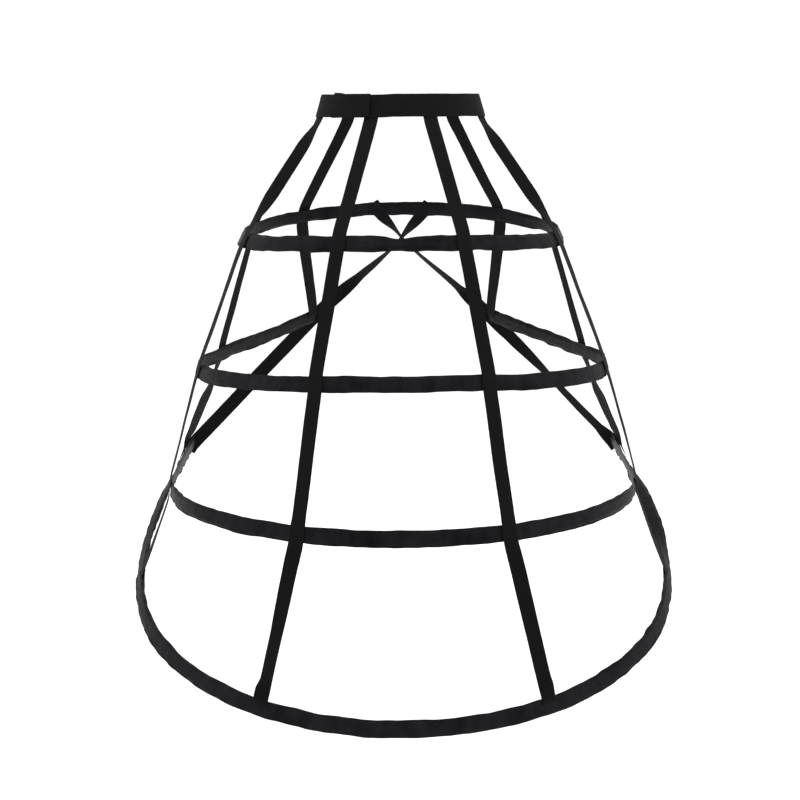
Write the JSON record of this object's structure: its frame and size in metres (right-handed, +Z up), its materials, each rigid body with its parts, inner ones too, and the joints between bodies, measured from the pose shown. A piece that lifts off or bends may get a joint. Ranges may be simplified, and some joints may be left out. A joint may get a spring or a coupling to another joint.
{
  "type": "crinoline cage",
  "caption": "Open-fronted skirt cage of boned fabric hoops hung on flat webbing straps from a lapped waistband, longer at the back than at the front.",
  "frame": {"origin": "centre of the waistband's oval at half the waistband's height", "axes": "+Z up along the wearer; +Y the way the wearer faces, to the open front; +X the wearer's right"},
  "size_m": [0.9551, 0.8142, 1.0145],
  "materials": {
    "band_webbing": "matte flat webbing",
    "strap_webbing": "matte ribbed webbing",
    "casing_satin": "soft satin sheen, puckered at its seams",
    "hoop_bone": "smooth coated spring steel",
    "bone_tip": "moulded, smooth",
    "joining_sleeve": "pressed sheet",
    "hook_tape": "stiff hooks on a woven back",
    "loop_tape": "fuzzy loops on a woven back"
  },
  "bodies": {
    "root": {"back_strap_left": "strap_webbing", "back_strap_right": "strap_webbing", "closure_hook_tape": "hook_tape", "closure_loop_tape": "loop_tape", "edge_strap_left": "strap_webbing", "edge_strap_right": "strap_webbing", "front_strap_left": "strap_webbing", "front_strap_right": "strap_webbing", "hoop_1_bone": "hoop_bone", "hoop_1_casing": "casing_satin", "hoop_1_sleeve": "joining_sleeve", "hoop_2_bone": "hoop_bone", "hoop_2_casing": "casing_satin", "hoop_2_tip_left": "bone_tip", "hoop_2_tip_right": "bone_tip", "hoop_3_bone": "hoop_bone", "hoop_3_casing": "casing_satin", "hoop_3_tip_left": "bone_tip", "hoop_3_tip_right": "bone_tip", "hoop_4_bone": "hoop_bone", "hoop_4_casing": "casing_satin", "hoop_4_tip_left": "bone_tip", "hoop_4_tip_right": "bone_tip", "quarter_strap_left": "strap_webbing", "quarter_strap_right": "strap_webbing", "side_strap_left": "strap_webbing", "side_strap_right": "strap_webbing", "waistband": "band_webbing"}
  },
  "joints": []
}
